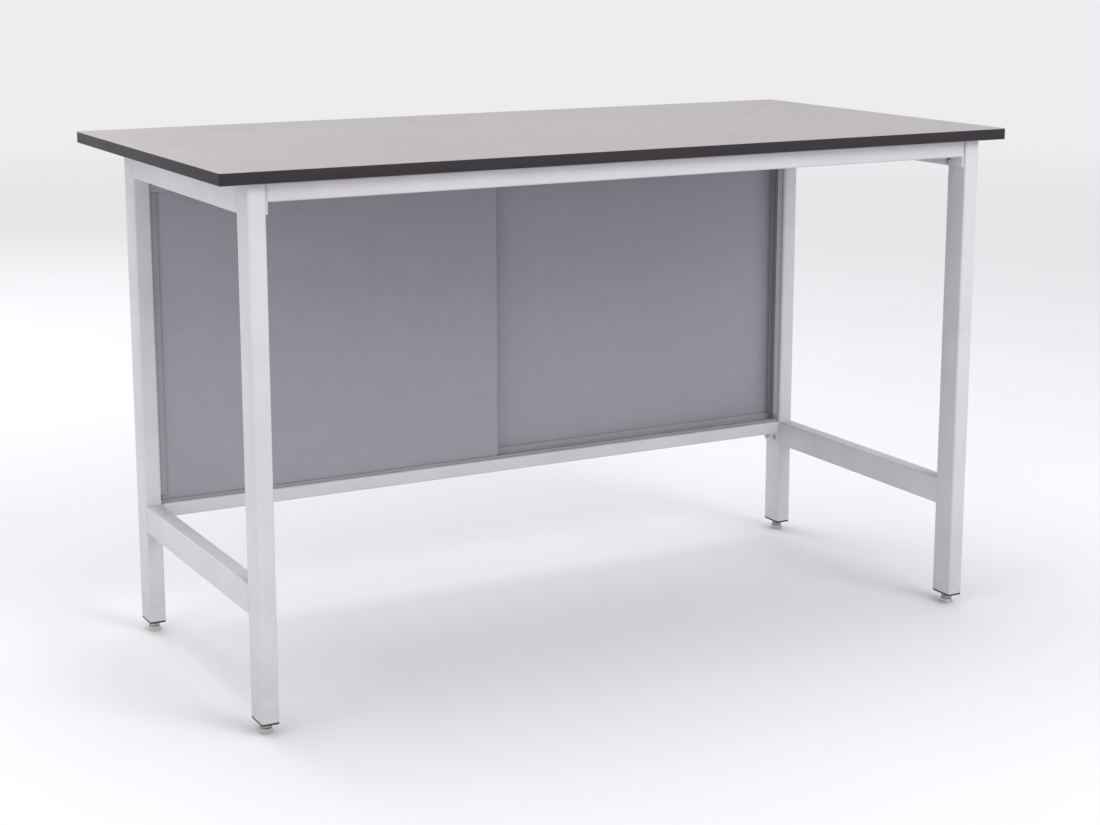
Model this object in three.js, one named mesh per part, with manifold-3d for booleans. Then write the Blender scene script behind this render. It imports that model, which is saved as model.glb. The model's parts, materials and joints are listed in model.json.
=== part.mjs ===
// A free-standing laboratory bench: a grey solid-grade laminate worktop on a frame of rectangular steel
// tube, two grey back panels that slide past each other between the rear legs, and four levelling feet.
// Millimetres. The origin is on the floor under the middle of the worktop, +X runs along the bench to
// the right as seen from the front, +Y runs to the rear and +Z up.

import * as THREE from "three";
import { mergeVertices } from "three/addons/utils/BufferGeometryUtils.js";
import Module from "manifold-3d";

// Worktop
const benchLength = 1500;
const benchDepth = 750;
const benchHeight = 900;
const worktopThickness = 20;
const worktopCorner = 4;
const worktopArris = 1;

// How far the worktop reaches past the legs
const endOverhang = 48;
const frontOverhang = 15;
const rearOverhang = 120;

// Steel tube of the frame
const tubeDeep = 50;
const tubeWide = 30;
const tubeWall = 2;
const tubeCorner = 4;
const lowRailHeight = 25;
const frontRailHeight = 30;
const stretcherTop = 240;

// End plates of the long rails
const plateThick = 4;
const plateCorner = 2;
const weldStep = 1;
const plateVentRadius = 5;
const railSetback = 4;
const lowPlateDrop = 22;

// Bolts of the long rails, M6
const boltRadius = 3;
const boltLength = 13;
const boltHeadRadius = 5.25;
const boltHeadHeight = 3.3;
const boltCrownRadius = 3.2;
const boltSocketAcross = 4;
const boltSocketDepth = 2;
const boltSpread = 28;
const boltCollarRadius = 5;
const boltCollarDepth = 3.5;

// Back panels and the tracks that they slide in
const panelThickness = 16;
const panelOverlap = 24;
const panelEngage = 9;
const panelArris = 0.8;
const runClearance = 1;
const panelEndGap = 0.5;
const panelLedge = 6.5;
const trackBase = 2.5;
const trackRib = 2.5;
const bottomFrontLip = 5;
const bottomRearRib = 15;
const topTrackDrop = 26.5;
const channelLip = 12;

// Countersunk screws of the tracks
const trackScrewRadius = 2;
const trackScrewLength = 12;
const trackScrewHeadRadius = 3.6;
const trackScrewEndMargin = 90;

// Screws that hold the worktop down, M6
const worktopScrewRadius = 3;
const worktopScrewHeadRadius = 6;
const worktopScrewHeadHeight = 4;
const worktopScrewGrip = 13;
const worktopHoleSpare = 1;
const worktopScrewInset = 80;
const screwdriverHoleRadius = 7;

// Levelling feet, M10
const padRadius = 12.5;
const padHeight = 8;
const padRim = 3;
const padArris = 1;
const padNeckRadius = 10;
const studRadius = 5;
const studPitch = 1.5;
const studHexAcross = 17;
const studHexHeight = 5;
const studSpigotRadius = 4;
const studSpigotDepth = 5;
const footTravel = 25;
const lockNutHeight = 5;
const insertFlange = 3;
const insertDepth = 25;

// Clearances: between pieces that rest on each other, and round a piece in its hole
const seatGap = 0.3;
const holeClearance = 0.3;

// Fineness of arcs: steps in a quarter of a rounded corner are twice the first
const cornerSegments = 1;
const boltSides = 12;
const footSides = 20;

// Heights and places that follow from the sizes above
const underside = benchHeight - worktopThickness;
const frameTop = underside - seatGap;
const topRailMiddle = frameTop - tubeDeep / 2;
const topRailBottom = frameTop - tubeDeep;
const frontRailMiddle = frameTop - frontRailHeight / 2;
const legX = benchLength / 2 - endOverhang - tubeWide / 2;
const innerX = legX - tubeWide / 2;
const frontLegY = -benchDepth / 2 + frontOverhang + tubeDeep / 2;
const rearLegY = benchDepth / 2 - rearOverhang - tubeDeep / 2;
const endMiddleY = (frontLegY + rearLegY) / 2;

const studHexBottom = padHeight + seatGap;
const lockNutBottom = studHexBottom + studHexHeight + seatGap;
const insertBottom = lockNutBottom + lockNutHeight + seatGap;
const legBottom = insertBottom + insertFlange + seatGap;
const studTop = insertBottom + insertFlange + insertDepth + footTravel;

const earWidth = tubeDeep - railSetback - tubeWide;
const railReach = innerX - seatGap;
const lowRailTop = stretcherTop;
const lowRailBottom = lowRailTop - lowRailHeight;

const groove = panelThickness + 2 * runClearance;
const trackFront = rearLegY - tubeDeep / 2 + panelLedge;
const trackDepth = 2 * groove + 3 * trackRib;
const frontGrooveY = trackFront + trackRib + groove / 2;
const rearGrooveY = frontGrooveY + trackRib + groove;
const bottomTrackZ = lowRailTop + seatGap;
const topTrackZ = topRailBottom - seatGap;
const topLipZ = topTrackZ - topTrackDrop;
const panelReach = railReach - trackBase - panelEndGap;
const panelWidth = panelReach + panelOverlap / 2;
const panelBottom = bottomTrackZ + trackBase + seatGap;
const panelTop = topLipZ + panelEngage;

// Finishes
function finish(colour, roughness, metalness) {
  return new THREE.MeshStandardMaterial({ color: colour, roughness, metalness });
}
const worktopFinish = finish(0xc0b9bd, 0.5, 0);
const framePaint = finish(0xd8d5d9, 0.45, 0.1);
const panelFinish = finish(0x908c96, 0.55, 0);
const trackPlastic = finish(0x85828a, 0.6, 0);
const zincSteel = finish(0x9a9a9c, 0.35, 0.9);
const insertNylon = finish(0x8f8f92, 0.6, 0);
const padNylon = finish(0xc9c8c6, 0.55, 0);

// Solids for cutting and joining
const wasm = await Module();
wasm.setup();

function solidFrom(geometry) {
  const bare = geometry.clone();
  bare.deleteAttribute("normal");
  bare.deleteAttribute("uv");
  const merged = mergeVertices(bare);
  const vertProperties = merged.attributes.position.array;
  const triVerts = new Uint32Array(merged.index.array);
  return new wasm.Manifold(new wasm.Mesh({ numProp: 3, vertProperties, triVerts }));
}

function geometryFrom(solid) {
  const mesh = solid.getMesh();
  const geometry = new THREE.BufferGeometry();
  geometry.setAttribute("position", new THREE.BufferAttribute(mesh.vertProperties, 3));
  geometry.setIndex(new THREE.BufferAttribute(mesh.triVerts, 1));
  return geometry;
}

function joined(body, additions) {
  const start = solidFrom(body);
  return geometryFrom(additions.reduce((solid, piece) => solid.add(solidFrom(piece)), start));
}

function cut(body, tools) {
  const start = solidFrom(body);
  return geometryFrom(tools.reduce((solid, tool) => solid.subtract(solidFrom(tool)), start));
}

// Shapes and bodies that several pieces share
const axisX = new THREE.Vector3(1, 0, 0);
const axisY = new THREE.Vector3(0, 1, 0);
const axisZ = new THREE.Vector3(0, 0, 1);

// An extrusion along Z turned to run along X: its section's x and y become Y and Z.
function alongX(geometry) {
  return geometry.applyMatrix4(new THREE.Matrix4().makeBasis(axisY, axisZ, axisX));
}

// An extrusion along Z turned to run along Y: its section's x and y become Z and X.
function alongY(geometry) {
  return geometry.applyMatrix4(new THREE.Matrix4().makeBasis(axisZ, axisX, axisY));
}

function roundedRectangle(width, height, radius, path = new THREE.Shape()) {
  const x = width / 2 - radius;
  const y = height / 2 - radius;
  path.absarc(x, -y, radius, -Math.PI / 2, 0);
  path.absarc(x, y, radius, 0, Math.PI / 2);
  path.absarc(-x, y, radius, Math.PI / 2, Math.PI);
  path.absarc(-x, -y, radius, Math.PI, 1.5 * Math.PI);
  path.closePath();
  return path;
}

function extruded(shape, length) {
  const settings = { depth: length, bevelEnabled: false, curveSegments: cornerSegments };
  return new THREE.ExtrudeGeometry(shape, settings);
}

// A slab with broken edges, its section in x and y and its underside at z = 0.
function slab(shape, thickness, arris) {
  const settings = {
    depth: thickness - 2 * arris,
    bevelThickness: arris,
    bevelSize: arris,
    bevelOffset: -arris,
    bevelSegments: 1,
    curveSegments: cornerSegments,
  };
  return new THREE.ExtrudeGeometry(shape, settings).translate(0, 0, arris);
}

function tubeSection(width, height) {
  const innerCorner = Math.max(tubeCorner - tubeWall, tubeWall / 2);
  const bore = roundedRectangle(
    width - 2 * tubeWall,
    height - 2 * tubeWall,
    innerCorner,
    new THREE.Path(),
  );
  const section = roundedRectangle(width, height, tubeCorner);
  section.holes.push(bore);
  return section;
}

// A body turned about Z from a profile of [radius, height] points, from the bottom up.
function turned(profile, sides) {
  const points = profile.map(([radius, height]) => new THREE.Vector2(radius, height));
  return alongX(new THREE.LatheGeometry(points, sides));
}

// A round or many-sided rod that stands on z = 0.
function rod(radius, length, sides) {
  const geometry = new THREE.CylinderGeometry(radius, radius, length, sides);
  return alongX(geometry.translate(0, length / 2, 0));
}

function hexRod(acrossFlats, length) {
  return rod(acrossFlats / Math.sqrt(3), length, 6);
}

// A rod along X from one x to another, for holes and collars.
function crossRod(radius, fromX, toX, y, z) {
  const length = Math.abs(toX - fromX);
  const geometry = rod(radius, length, boltSides).rotateY(Math.PI / 2);
  return geometry.translate(Math.min(fromX, toX), y, z);
}

const bench = new THREE.Group();

function place(name, geometry, material, x, y, z, parent = bench) {
  const mesh = new THREE.Mesh(geometry, material);
  mesh.name = name;
  mesh.position.set(x, y, z);
  parent.add(mesh);
  return mesh;
}

// Where the worktop is screwed down: two places on each end rail, one on each long top rail
const screwReachY = (rearLegY - frontLegY) / 2 - tubeDeep / 2 - worktopScrewInset;
const topRailOffset = tubeDeep / 2 - railSetback - tubeWide / 2;
const worktopScrewPlaces = [
  ["left_front", -legX, endMiddleY - screwReachY],
  ["left_rear", -legX, endMiddleY + screwReachY],
  ["right_front", legX, endMiddleY - screwReachY],
  ["right_rear", legX, endMiddleY + screwReachY],
  ["front_middle", 0, frontLegY - topRailOffset],
  ["rear_middle", 0, rearLegY + topRailOffset],
];

// Worktop: one slab with tapped blind holes in its underside
function makeWorktop() {
  const outline = roundedRectangle(benchLength, benchDepth, worktopCorner);
  const holeRadius = worktopScrewRadius + holeClearance;
  const holeDepth = worktopScrewGrip + worktopHoleSpare;
  const holes = worktopScrewPlaces.map(([, x, y]) =>
    rod(holeRadius, 2 * holeDepth, boltSides).translate(x, y, -holeDepth),
  );
  const top = cut(slab(outline, worktopThickness, worktopArris), holes);
  place("worktop", top, worktopFinish, 0, 0, underside);
}

// Each screw's head lies inside the rail, against its upper wall
function makeWorktopScrews() {
  const neck = worktopScrewHeadHeight;
  const length = neck + seatGap + tubeWall + seatGap + worktopScrewGrip;
  const chamfer = worktopScrewRadius / 4;
  const profile = [
    [0, 0],
    [worktopScrewHeadRadius - chamfer, 0],
    [worktopScrewHeadRadius, chamfer],
    [worktopScrewHeadRadius, neck],
    [worktopScrewRadius, neck],
    [worktopScrewRadius, length - chamfer],
    [worktopScrewRadius - chamfer, length],
    [0, length],
  ];
  for (const [where, x, y] of worktopScrewPlaces) {
    const bottom = frameTop - tubeWall - seatGap - neck;
    place(`worktop_screw_${where}`, turned(profile, boltSides), zincSteel, x, y, bottom);
  }
}

// Holes for a worktop screw through both walls of a top rail, in the rail's own frame
function worktopScrewHoles(x, y) {
  const throughTop = rod(worktopScrewRadius + holeClearance, tubeDeep, boltSides);
  const access = rod(screwdriverHoleRadius, tubeDeep, boltSides);
  return [throughTop.translate(x, y, 0), access.translate(x, y, -tubeDeep)];
}

// Places of the track screws along the bench
const trackScrewReach = railReach - trackScrewEndMargin;
const trackScrewPlaces = [
  ["left", -trackScrewReach],
  ["middle", 0],
  ["right", trackScrewReach],
];

// Pilot holes in a rail for the track screws: from the rail's axis up, or down by a negative start
function trackScrewPilots(y, start) {
  const radius = trackScrewRadius + holeClearance;
  return trackScrewPlaces.map(([, x]) => rod(radius, tubeDeep, boltSides).translate(x, y, start));
}

// Long rails. Each has a plate welded to either end, whose ear takes two bolts into the leg.
// An entry of bolts is a [y, z] place in the bench's frame.
function topRailBolts(legY, side) {
  const y = legY - side * (tubeDeep / 2 - earWidth / 2);
  return [-1, 1].map((up) => [y, topRailMiddle + (up * boltSpread) / 2]);
}
const lowRailBolts = [-1, 1].map((side) => [
  rearLegY + (side * boltSpread) / 2,
  lowRailBottom - lowPlateDrop / 2,
]);
// A plate keeps inside the tube's outline by the weld's step, except on the side of its ear. The front
// rail's tube is lower than its plates, which hang below it.
const topPlate = [tubeDeep - railSetback - weldStep, tubeDeep - 2 * weldStep];
const plateShift = (railSetback + weldStep) / 2;
const lowPlate = [tubeDeep - 2 * weldStep, lowRailHeight + lowPlateDrop - weldStep];
const longRails = [
  {
    name: "front_top_rail",
    leg: "front",
    middle: [frontLegY - topRailOffset, frontRailMiddle],
    section: [tubeWide, frontRailHeight],
    plate: topPlate,
    plateMiddle: [frontLegY + plateShift, topRailMiddle],
    bolts: topRailBolts(frontLegY, -1),
    screwHoles: worktopScrewHoles(0, 0),
  },
  {
    name: "rear_top_rail",
    leg: "rear",
    middle: [rearLegY + topRailOffset, topRailMiddle],
    section: [tubeWide, tubeDeep],
    plate: topPlate,
    plateMiddle: [rearLegY - plateShift, topRailMiddle],
    bolts: topRailBolts(rearLegY, 1),
    screwHoles: [
      ...worktopScrewHoles(0, 0),
      ...trackScrewPilots(rearGrooveY - rearLegY - topRailOffset, -tubeDeep),
    ],
  },
  {
    name: "rear_lower_rail",
    leg: "rear",
    middle: [rearLegY, lowRailTop - lowRailHeight / 2],
    section: [tubeDeep, lowRailHeight],
    plate: lowPlate,
    plateMiddle: [rearLegY, lowRailBottom - lowPlateDrop + lowPlate[1] / 2],
    bolts: lowRailBolts,
    screwHoles: trackScrewPilots(frontGrooveY - rearLegY, 0),
  },
];

function makeLongRail(rail) {
  const [y, z] = rail.middle;
  const length = 2 * (railReach - plateThick + weldStep);
  const tube = alongX(extruded(tubeSection(...rail.section), length));
  tube.translate(-length / 2, 0, 0);
  const plateOutline = roundedRectangle(...rail.plate, plateCorner);
  const plates = [-railReach, railReach - plateThick].map((x) =>
    alongX(extruded(plateOutline, plateThick)).translate(
      x,
      rail.plateMiddle[0] - y,
      rail.plateMiddle[1] - z,
    ),
  );
  const vent = crossRod(plateVentRadius, -benchLength, benchLength, 0, 0);
  const holes = [vent, ...rail.screwHoles];
  for (const [boltY, boltZ] of rail.bolts) {
    const radius = boltRadius + holeClearance;
    holes.push(crossRod(radius, -benchLength, benchLength, boltY - y, boltZ - z));
  }
  place(rail.name, cut(joined(tube, plates), holes), framePaint, 0, y, z);
}

// A button-head bolt with a hex socket: head above z = 0, shank below
function makeRailBolts(rail) {
  const chamfer = boltRadius / 4;
  const profile = [
    [0, -boltLength],
    [boltRadius - chamfer, -boltLength],
    [boltRadius, chamfer - boltLength],
    [boltRadius, 0],
    [boltHeadRadius, 0],
    [boltHeadRadius, boltHeadHeight / 4],
    [boltCrownRadius, boltHeadHeight],
    [0, boltHeadHeight],
  ];
  const socket = hexRod(boltSocketAcross, 2 * boltSocketDepth);
  socket.translate(0, 0, boltHeadHeight - boltSocketDepth);
  const bolt = cut(turned(profile, boltSides), [socket]);
  for (const [side, hand] of [["left", -1], ["right", 1]]) {
    rail.bolts.forEach(([y, z], index) => {
      const x = hand * (railReach - plateThick - seatGap);
      const name = `bolt_${rail.name}_${side}_${index + 1}`;
      const mesh = place(name, bolt.clone(), zincSteel, x, y, z);
      mesh.rotation.y = (-hand * Math.PI) / 2;
    });
  }
}

// End rails and end stretchers run from front leg to rear leg, the tube standing on its narrow side
function makeEndRails(side, hand) {
  const start = frontLegY + tubeDeep / 2 + seatGap;
  const length = rearLegY - frontLegY - tubeDeep - 2 * seatGap;
  const tube = alongY(extruded(tubeSection(tubeDeep, tubeWide), length));
  const holes = [-1, 1].flatMap((end) =>
    worktopScrewHoles(0, endMiddleY + end * screwReachY - start),
  );
  place(`end_top_rail_${side}`, cut(tube, holes), framePaint, hand * legX, start, topRailMiddle);
  const stretcherMiddle = stretcherTop - tubeDeep / 2;
  place(`end_stretcher_${side}`, tube.clone(), framePaint, hand * legX, start, stretcherMiddle);
}

// A leg has a tapped collar drawn into its inner wall for each bolt
function makeLeg(corner, hand, legY, rails) {
  const inner = -hand;
  const tube = extruded(tubeSection(tubeWide, tubeDeep), frameTop - legBottom);
  const collars = [];
  const holes = [];
  for (const rail of rails) {
    for (const [boltY, boltZ] of rail.bolts) {
      const y = boltY - legY;
      const z = boltZ - legBottom;
      const wallMiddle = inner * (tubeWide / 2 - tubeWall / 2);
      const collarEnd = inner * (tubeWide / 2 - tubeWall - boltCollarDepth);
      collars.push(crossRod(boltCollarRadius, collarEnd, wallMiddle, y, z));
      holes.push(crossRod(boltRadius + holeClearance, 0, inner * tubeWide, y, z));
    }
  }
  const leg = cut(joined(tube, collars), holes);
  place(`leg_${corner}`, leg, framePaint, hand * legX, legY, legBottom);
}

// A levelling foot: insert in the leg's end, lock nut, stud with a hex, and the pad under it
function makeFoot(corner, x, y) {
  const foot = new THREE.Group();
  foot.position.set(x, y, 0);
  bench.add(foot);

  const boreRadius = studRadius + holeClearance;
  const plugWide = tubeWide - 2 * tubeWall - 2 * holeClearance;
  const plugDeep = tubeDeep - 2 * tubeWall - 2 * holeClearance;
  const flange = extruded(roundedRectangle(tubeWide, tubeDeep, tubeCorner), insertFlange);
  const plug = extruded(roundedRectangle(plugWide, plugDeep, tubeWall), insertFlange + insertDepth);
  const insertBore = rod(boreRadius, 2 * (insertFlange + insertDepth), footSides);
  insertBore.translate(0, 0, -insertFlange);
  const insert = cut(joined(flange, [plug]), [insertBore]);
  place(`leg_insert_${corner}`, insert, insertNylon, 0, 0, insertBottom, foot);

  const nutBore = rod(boreRadius, 3 * lockNutHeight, footSides);
  nutBore.translate(0, 0, -lockNutHeight);
  const nut = cut(hexRod(studHexAcross, lockNutHeight), [nutBore]);
  place(`lock_nut_${corner}`, nut, zincSteel, 0, 0, lockNutBottom, foot);

  const length = studTop - studHexBottom;
  const shank = turned(
    [
      [0, -studSpigotDepth],
      [studSpigotRadius, -studSpigotDepth],
      [studSpigotRadius, studHexHeight / 2],
      [studRadius, studHexHeight / 2],
      [studRadius, length - studPitch],
      [studRadius - studPitch, length],
      [0, length],
    ],
    footSides,
  );
  const stud = joined(hexRod(studHexAcross, studHexHeight), [shank]);
  place(`foot_stud_${corner}`, stud, zincSteel, 0, 0, studHexBottom, foot);

  const socketRadius = studSpigotRadius + holeClearance;
  const socketBottom = padHeight - studSpigotDepth - holeClearance;
  const pad = turned(
    [
      [0, 0],
      [padRadius - padArris, 0],
      [padRadius, padArris],
      [padRadius, padRim],
      [padNeckRadius, padHeight],
      [socketRadius, padHeight],
      [socketRadius, socketBottom],
      [0, socketBottom],
    ],
    footSides,
  );
  place(`foot_pad_${corner}`, pad, padNylon, 0, 0, 0, foot);
}

// A track's section: a base with three ribs, whose heights count from the base's back.
// Across runs from the front of the track to its rear, up away from what it is fixed to.
function trackOutline(heights) {
  const points = [[0, 0], [trackDepth, 0]];
  for (let rib = heights.length - 1; rib >= 0; rib -= 1) {
    const front = rib * (trackRib + groove);
    const floor = rib > 0 ? trackBase : heights[rib];
    points.push([front + trackRib, heights[rib]], [front, heights[rib]], [front, floor]);
    if (rib > 0) {
      points.push([front - groove, trackBase]);
    }
  }
  return points;
}

function shapeOf(points) {
  return new THREE.Shape(points.map(([x, y]) => new THREE.Vector2(x, y)));
}

// A countersunk screw with its head's top at z = 0, and the hole that it needs in a track's base
function trackScrewProfile(room) {
  const headRadius = trackScrewHeadRadius + room;
  const radius = trackScrewRadius + room;
  const neck = headRadius - radius;
  return [
    [0, -trackScrewLength],
    [radius, -trackScrewLength],
    [radius, -neck],
    [headRadius, 0],
    [0, 0],
  ];
}

function makeTracks() {
  const length = 2 * railReach;
  const screwHoles = (y, z, flip) =>
    trackScrewPlaces.map(([, x]) => {
      const hole = turned(trackScrewProfile(holeClearance), boltSides);
      return hole.rotateX(flip).translate(x + railReach, y, z);
    });

  const bottomHeights = [bottomFrontLip, bottomRearRib, bottomRearRib];
  const bottom = alongX(extruded(shapeOf(trackOutline(bottomHeights)), length));
  const bottomHoles = screwHoles(frontGrooveY - trackFront, trackBase, 0);
  place("panel_track_bottom", cut(bottom, bottomHoles), trackPlastic, -railReach, trackFront, bottomTrackZ);

  const topHeights = [topTrackDrop, topTrackDrop, topTrackDrop];
  const hung = trackOutline(topHeights).map(([across, up]) => [across, -up]);
  const top = alongX(extruded(shapeOf(hung), length));
  const topHoles = screwHoles(rearGrooveY - trackFront, -trackBase, Math.PI);
  place("panel_track_top", cut(top, topHoles), trackPlastic, -railReach, trackFront, topTrackZ);

  const channelBottom = bottomTrackZ + bottomRearRib + seatGap;
  const channelLength = topLipZ - seatGap - channelBottom;
  const channelHeights = [channelLip, channelLip, channelLip];
  for (const [side, hand] of [["left", -1], ["right", 1]]) {
    const outline = trackOutline(channelHeights).map(([across, up]) => [-hand * up, across]);
    const channel = extruded(shapeOf(outline), channelLength);
    place(`panel_channel_${side}`, channel, trackPlastic, hand * railReach, trackFront, channelBottom);
  }
}

function makeTrackScrews() {
  const screw = turned(trackScrewProfile(0), boltSides);
  for (const [where, x] of trackScrewPlaces) {
    const floor = bottomTrackZ + trackBase - holeClearance;
    place(`track_screw_bottom_${where}`, screw.clone(), zincSteel, x, frontGrooveY, floor);
    const ceiling = topTrackZ - trackBase + holeClearance;
    const name = `track_screw_top_${where}`;
    const upper = place(name, screw.clone(), zincSteel, x, rearGrooveY, ceiling);
    upper.rotation.x = Math.PI;
  }
}

// Back panels: the left one runs in the front groove, the right one in the rear groove
function makePanels() {
  const height = panelTop - panelBottom;
  const outline = shapeOf([
    [0, 0],
    [panelWidth, 0],
    [panelWidth, height],
    [0, height],
  ]);
  const board = slab(outline, panelThickness, panelArris);
  board.rotateX(Math.PI / 2).translate(0, panelThickness, 0);
  const front = frontGrooveY - panelThickness / 2;
  const rear = rearGrooveY - panelThickness / 2;
  place("back_panel_left", board, panelFinish, -panelReach, front, panelBottom);
  place("back_panel_right", board.clone(), panelFinish, panelReach - panelWidth, rear, panelBottom);
}

makeWorktop();
makeWorktopScrews();
for (const rail of longRails) {
  makeLongRail(rail);
  makeRailBolts(rail);
}
for (const [side, hand] of [["left", -1], ["right", 1]]) {
  makeEndRails(side, hand);
  for (const [end, legY] of [["front", frontLegY], ["rear", rearLegY]]) {
    const rails = longRails.filter((rail) => rail.leg === end);
    makeLeg(`${end}_${side}`, hand, legY, rails);
    makeFoot(`${end}_${side}`, hand * legX, legY);
  }
}
makeTracks();
makeTrackScrews();
makePanels();

export default bench;
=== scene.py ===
import json
import math

import bmesh
import bpy
from mathutils import Matrix, Vector

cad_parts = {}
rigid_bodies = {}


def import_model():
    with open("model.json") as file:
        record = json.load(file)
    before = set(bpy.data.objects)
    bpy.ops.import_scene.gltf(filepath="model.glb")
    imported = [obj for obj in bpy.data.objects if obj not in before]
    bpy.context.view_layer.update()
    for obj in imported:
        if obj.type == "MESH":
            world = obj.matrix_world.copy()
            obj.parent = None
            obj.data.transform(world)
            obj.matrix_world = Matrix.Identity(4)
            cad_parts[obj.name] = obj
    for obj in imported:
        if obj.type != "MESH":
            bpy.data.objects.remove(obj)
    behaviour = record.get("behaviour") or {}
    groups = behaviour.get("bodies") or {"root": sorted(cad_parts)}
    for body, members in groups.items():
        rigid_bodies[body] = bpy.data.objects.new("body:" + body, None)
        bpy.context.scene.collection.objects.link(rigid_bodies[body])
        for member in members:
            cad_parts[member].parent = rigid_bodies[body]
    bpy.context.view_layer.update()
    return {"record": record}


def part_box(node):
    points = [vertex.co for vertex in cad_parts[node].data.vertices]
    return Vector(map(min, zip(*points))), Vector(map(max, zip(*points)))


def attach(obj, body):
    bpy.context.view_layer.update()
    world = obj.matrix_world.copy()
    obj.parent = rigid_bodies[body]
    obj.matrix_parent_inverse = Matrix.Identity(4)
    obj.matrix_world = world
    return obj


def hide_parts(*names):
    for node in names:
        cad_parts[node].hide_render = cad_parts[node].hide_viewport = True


# The looks of a laboratory bench: a dark-edged grey worktop on a powder-coated tube frame, two back
# panels that slide past each other, and four levelling feet. Metres, in the frame of the solids.

MM = 0.001

# Frame
SEAT_GAP = 0.3 * MM
TUBE_WALL = 2.0 * MM
TUBE_CORNER = 4.0 * MM
TUBE_WIDE = 30.0 * MM
TUBE_EDGE = 0.35 * MM
LOW_RAIL_TALL = 25.0 * MM
FRONT_RAIL_TALL = 30.0 * MM
PLATE_THICK = 4.0 * MM
PLATE_CORNER = 2.0 * MM
WELD_STEP = 1.0 * MM
WELD_RADIUS = 3.0 * MM
WELD_SINK = 1.9 * MM
WELD_LEAN = 0.8 * MM
FILLET_RADIUS = 2.2 * MM
RIPPLE_LENGTH = 3.3 * MM
RIPPLE_POINTS = 3
RIPPLE_SHARE = 0.16
BEAD_ROUNDNESS = 2
BEAD_MERGE = 0.02 * MM
ACCESS_HOLE_RADIUS = 7.0 * MM
CORNER_STEPS = 6

# Worktop
TOP_CORNER = 4.0 * MM
TOP_ARRIS = 1.0 * MM
TOP_ARRIS_STEPS = 4
DECOR_SHEET = 0.7 * MM
DECOR_INNER = 0.85 * DECOR_SHEET

# Back panels and their tracks
PANEL_ARRIS = 0.8 * MM
PANEL_ARRIS_STEPS = 3
TRACK_BASE = 2.5 * MM
TRACK_RIB = 2.5 * MM
TRACK_GROOVE = 18.0 * MM
TRACK_EDGE = 0.4 * MM
FRONT_LIP = 5.0 * MM
TRACK_SCREW_RADIUS = 2.0 * MM
TRACK_SCREW_HEAD = 3.6 * MM
TRACK_SCREW_LENGTH = 12.0 * MM
TRACK_SCREW_RECESS = 1.4 * MM
TRACK_SCREW_EDGE = 0.1 * MM
CROSS_SLOT = 0.84 * MM
CROSS_SHARE = 0.62

# Bolts of the long rails
BOLT_RADIUS = 3.0 * MM
BOLT_LENGTH = 13.0 * MM
BOLT_HEAD_RADIUS = 5.25 * MM
BOLT_HEAD_TALL = 3.3 * MM
BOLT_SOCKET_ACROSS = 4.0 * MM
BOLT_SOCKET_DEEP = 2.0 * MM
BOLT_RIM = 0.5 * MM
BOLT_DOME_TURN = math.radians(58)
BOLT_DOME_STEPS = 6
BOLT_CHAMFER = 0.7 * MM
BOLT_EDGE = 0.12 * MM

# Screws that hold the worktop down
TOP_SCREW_RADIUS = 3.0 * MM
TOP_SCREW_HEAD = 6.0 * MM
TOP_SCREW_HEAD_TALL = 4.0 * MM
TOP_SCREW_CHAMFER = 0.75 * MM
TOP_SCREW_RECESS = 2.2 * MM
TOP_SCREW_EDGE = 0.15 * MM

# Levelling feet
HEX_ACROSS = 17.0 * MM
HEX_FACE_SHARE = 0.475
HEX_BLANK_SHARE = 0.59
HEX_CHAMFER = math.radians(30)
STUD_CORE = 4.25 * MM
STUD_CREST = 5.0 * MM
STUD_PITCH = 1.5 * MM
THREAD_DEEP = 0.9 * MM
THREAD_ROOT = 1.25 * MM
THREAD_CREST_SHARE = 0.16
THREAD_STEPS = 24
STUD_HEX_TALL = 5.0 * MM
STUD_SPIGOT_RADIUS = 4.0 * MM
STUD_SPIGOT_DEEP = 5.0 * MM
STUD_SPIGOT_CHAMFER = 0.6 * MM
STUD_OVERLAP = 0.5 * MM
STUD_UNDERCUT = 0.9 * MM
STUD_EDGE = 0.15 * MM
NUT_BORE = 5.15 * MM
NUT_EDGE = 0.2 * MM
INSERT_FLANGE = 3.0 * MM
INSERT_PLUG_START = 1.0 * MM
INSERT_EDGE = 0.4 * MM
PAD_ARRIS = 0.8 * MM
PAD_RIM_TALL = 2.8 * MM
PAD_NECK_RADIUS = 9.9 * MM
PAD_FLANK_STEPS = 7
PAD_SOCKET_RADIUS = 4.3 * MM
PAD_SOCKET_DEEP = 5.3 * MM

# Camera, placed about where the photograph was taken from
CAMERA_PLACE = Vector((-1.784, -3.298, 1.253))
CAMERA_AIM = Vector((0.0, -0.02, 0.505))
CAMERA_LENS = 68.0
CAMERA_SHIFT = -0.06
CAMERA_SENSOR = 36.0

# Studio floor, which fades out into the backdrop
FLOOR_RADIUS = 9.0
FLOOR_CLEAR = 2.5
FLOOR_DROP = 0.2 * MM
FLOOR_SIDES = 96

# Soft studio lights, each with its place, its size and its power in watts, and the light of the air
LIGHT_AIM = Vector((0.0, 0.0, 0.4))
LIGHTS = {
    "key_light": (Vector((1.3, -3.9, 3.6)), 2.8, 99),
    "left_light": (Vector((-4.0, -1.2, 1.3)), 2.6, 22),
    "top_light": (Vector((-0.6, 0.6, 4.6)), 3.2, 48),
    "back_light": (Vector((-1.0, 4.2, 2.8)), 2.8, 44),
}
AIR_COLOUR = (0.98, 0.985, 1.0, 1.0)
AIR_STRENGTH = 0.86

# Sides of round pieces
SMALL_SIDES = 32
BOLT_SIDES = 36
BORE_SIDES = 40
HEX_BLANK_SIDES = 48
PAD_SIDES = 56

# Edges sharper than the first angle are eased, and faces that meet flatter than the others shade as one
SHARP_ANGLE = math.radians(40)
SMOOTH_ANGLE = math.radians(32)
PAD_SMOOTH_ANGLE = math.radians(45)

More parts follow.
